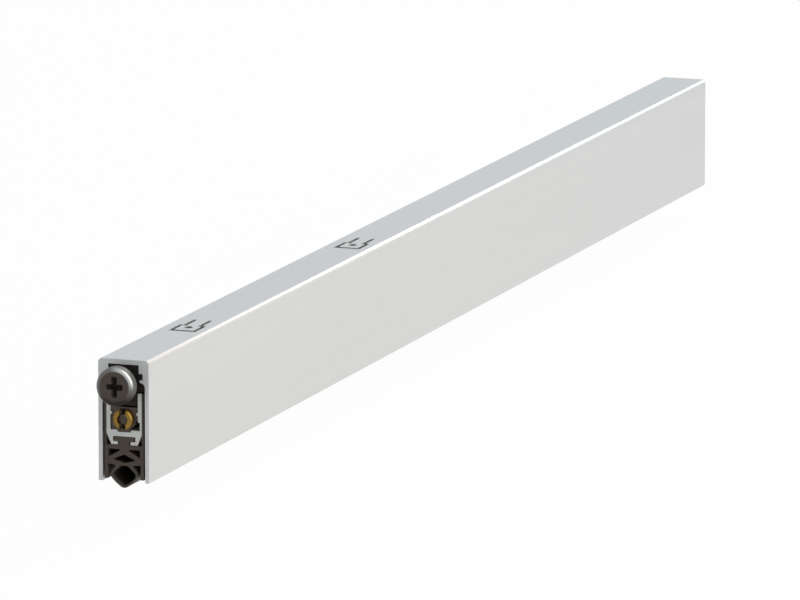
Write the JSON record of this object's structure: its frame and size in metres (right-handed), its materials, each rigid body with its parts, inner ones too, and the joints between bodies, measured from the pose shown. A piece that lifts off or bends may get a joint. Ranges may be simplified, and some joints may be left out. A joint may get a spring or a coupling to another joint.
{
  "type": "automatic door bottom seal",
  "caption": "Drop-down door bottom seal in an aluminium channel; pushing the end plunger bows leaf springs that lower a rubber seal.",
  "frame": {"origin": "centre of the flat top of the housing, midway along its length", "axes": "+X along the housing away from the plunger end, +Z out of the top face, towards the door above"},
  "size_m": [0.4362, 0.013, 0.0315],
  "materials": {
    "housing_aluminium": "satin anodised",
    "bar_aluminium": "mill finish",
    "seal_rubber": "matt extruded",
    "black_plastic": "moulded",
    "dark_steel": "black oxide",
    "bright_steel": "zinc plated",
    "rivet_steel": "zinc plated",
    "spring_steel": "rolled",
    "brass": "turned"
  },
  "bodies": {
    "casing": {"housing": "housing_aluminium", "rod_guide_block": "black_plastic", "centre_anchor_block": "black_plastic", "end_anchor_block": "black_plastic", "end_anchor_screw": "dark_steel", "centre_anchor_rivet": "rivet_steel", "end_anchor_rivet": "rivet_steel", "leaf_spring_1": "spring_steel", "leaf_spring_2": "spring_steel"},
    "plunger": {"plunger_block": "black_plastic", "thread_insert": "brass", "push_rod": "bright_steel", "rod_pin_1": "bright_steel", "rod_pin_2": "bright_steel", "rod_pin_3": "bright_steel", "slider_1": "black_plastic", "slider_2": "black_plastic", "slider_rivet_1": "rivet_steel", "slider_rivet_2": "rivet_steel"},
    "set_screw": {"plunger_screw": "dark_steel"},
    "drop_seal": {"drop_bar": "bar_aluminium", "seal_strip": "seal_rubber", "saddle_1": "black_plastic", "saddle_2": "black_plastic", "saddle_rivet_1": "rivet_steel", "saddle_rivet_2": "rivet_steel", "drop_bar_end_block": "black_plastic"},
    "sleeve": {"brass_sleeve": "brass"}
  },
  "joints": [
    {"name": "plunger_slide", "type": "slide", "parent": "casing", "child": "plunger", "axis": [1, 0, 0], "range_m": [0, 0.003], "stiffness_N_per_m": 2750, "springref_m": -0.0029},
    {"name": "seal_drop", "type": "slide", "parent": "casing", "child": "drop_seal", "axis": [0, 0, -1], "range_m": [0, 0.008], "deforming": ["leaf_spring_1", "leaf_spring_2"]},
    {"name": "plunger_screw_turn", "type": "hinge", "parent": "plunger", "child": "set_screw", "pos_m": [-0.215, 0, -0.0057], "axis": [1, 0, 0], "continuous": true},
    {"name": "brass_sleeve_turn", "type": "hinge", "parent": "drop_seal", "child": "sleeve", "pos_m": [-0.215, 0, -0.01465], "axis": [1, 0, 0], "continuous": true}
  ],
  "couplings": [
    {"joint": "seal_drop", "follows": "plunger_slide", "ratio": 2.6666}
  ]
}
